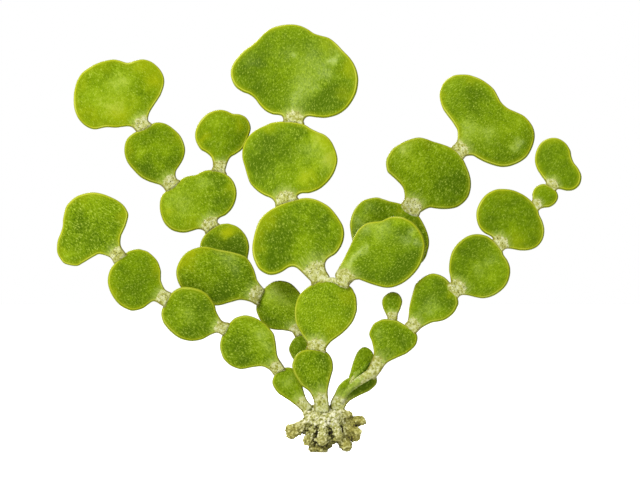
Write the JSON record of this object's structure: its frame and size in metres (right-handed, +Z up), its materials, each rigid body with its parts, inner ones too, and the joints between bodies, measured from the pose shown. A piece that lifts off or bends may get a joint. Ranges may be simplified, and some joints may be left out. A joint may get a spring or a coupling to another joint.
{
  "type": "cactus algae",
  "caption": "Branching chains of flat, fleshy green segments on short pale stalks, growing up from a cream knobbly holdfast that is cut flat to stand on.",
  "frame": {"origin": "on the holdfast's flat underside, below the middle of its crown", "axes": "+Z up, +X to the right and +Y away from a viewer who looks at the plant's open face"},
  "size_m": [0.1569, 0.0226, 0.1283],
  "materials": {
    "algae_green": "mottled green, softly sheened, with a thin yellow rim and a pale pitted stalk",
    "holdfast_cream": "rough, granular, cream on the knobs and brown in the creases"
  },
  "bodies": {
    "root": {"holdfast": "holdfast_cream", "left_low_1": "algae_green", "left_low_2": "algae_green", "left_low_3": "algae_green", "left_low_4": "algae_green", "left_low_5": "algae_green", "left_high_1": "algae_green", "left_high_2": "algae_green", "left_high_3": "algae_green", "left_high_4": "algae_green", "left_high_5": "algae_green", "left_high_6": "algae_green", "left_high_side": "algae_green", "left_fan": "algae_green", "middle_1": "algae_green", "middle_2": "algae_green", "middle_3": "algae_green", "middle_4": "algae_green", "middle_fan": "algae_green", "front_fan": "algae_green", "right_high_1": "algae_green", "right_high_2": "algae_green", "right_high_3": "algae_green", "right_1": "algae_green", "right_2": "algae_green", "right_3": "algae_green", "right_4": "algae_green", "right_5": "algae_green", "right_6": "algae_green", "right_7": "algae_green", "right_bud_low": "algae_green", "right_bud_high": "algae_green"}
  },
  "joints": []
}
